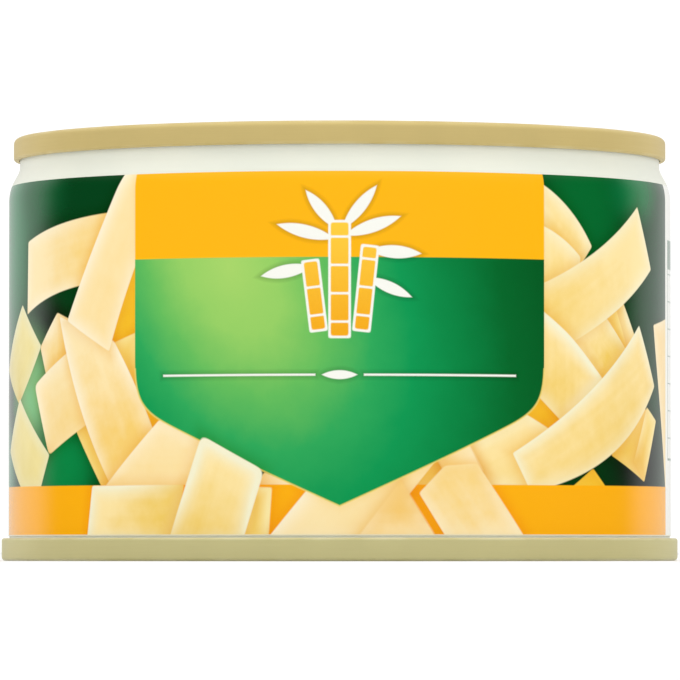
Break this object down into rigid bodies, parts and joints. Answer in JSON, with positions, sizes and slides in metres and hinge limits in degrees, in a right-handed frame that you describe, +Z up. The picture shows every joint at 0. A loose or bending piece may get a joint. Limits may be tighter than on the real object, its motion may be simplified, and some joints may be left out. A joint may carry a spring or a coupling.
{
  "type": "food can",
  "caption": "Low, wide sealed food can with a necked-in top, double-seamed stepped ends and a wrap label picturing sliced bamboo shoot; the slices are inside.",
  "frame": {"origin": "centre of the can's base, on the surface that it stands on", "axes": "+Z up along the can's axis; the middle of the label's front panel faces -Y, and the label's lap is on the left, just behind -X"},
  "size_m": [0.0874, 0.0874, 0.0545],
  "materials": {
    "body_enamel": "off-white gloss enamel on tinplate",
    "gold_lacquer": "satin gold lacquer on tinplate",
    "khaki_lacquer": "satin khaki gold lacquer on tinplate",
    "seam_compound": "matt grey sealing compound",
    "label_paper": "gloss-coated paper printed orange, green and cream",
    "shoot_flesh": "moist, pale cream plant flesh"
  },
  "bodies": {
    "root": {"can_body": "body_enamel", "top_end": "gold_lacquer", "bottom_end": "khaki_lacquer", "top_seam_compound": "seam_compound", "bottom_seam_compound": "seam_compound", "label": "label_paper", "shoot_slice_01": "shoot_flesh", "shoot_slice_02": "shoot_flesh", "shoot_slice_03": "shoot_flesh", "shoot_slice_04": "shoot_flesh", "shoot_slice_05": "shoot_flesh", "shoot_slice_06": "shoot_flesh", "shoot_slice_07": "shoot_flesh", "shoot_slice_08": "shoot_flesh", "shoot_slice_09": "shoot_flesh", "shoot_slice_10": "shoot_flesh", "shoot_slice_11": "shoot_flesh", "shoot_slice_12": "shoot_flesh", "shoot_slice_13": "shoot_flesh", "shoot_slice_14": "shoot_flesh", "shoot_slice_15": "shoot_flesh", "shoot_slice_16": "shoot_flesh", "shoot_slice_17": "shoot_flesh", "shoot_slice_18": "shoot_flesh", "shoot_slice_19": "shoot_flesh", "shoot_slice_20": "shoot_flesh", "shoot_slice_21": "shoot_flesh", "shoot_slice_22": "shoot_flesh", "shoot_slice_23": "shoot_flesh", "shoot_slice_24": "shoot_flesh", "shoot_slice_25": "shoot_flesh", "shoot_slice_26": "shoot_flesh", "shoot_slice_27": "shoot_flesh", "shoot_slice_28": "shoot_flesh", "shoot_slice_29": "shoot_flesh", "shoot_slice_30": "shoot_flesh", "shoot_slice_31": "shoot_flesh", "shoot_slice_32": "shoot_flesh", "shoot_slice_33": "shoot_flesh", "shoot_slice_34": "shoot_flesh", "shoot_slice_35": "shoot_flesh", "shoot_slice_36": "shoot_flesh", "shoot_slice_37": "shoot_flesh", "shoot_slice_38": "shoot_flesh", "shoot_slice_39": "shoot_flesh", "shoot_slice_40": "shoot_flesh", "shoot_slice_41": "shoot_flesh", "shoot_slice_42": "shoot_flesh", "shoot_slice_43": "shoot_flesh", "shoot_slice_44": "shoot_flesh", "shoot_slice_45": "shoot_flesh", "shoot_slice_46": "shoot_flesh", "shoot_slice_47": "shoot_flesh", "shoot_slice_48": "shoot_flesh"}
  },
  "joints": []
}
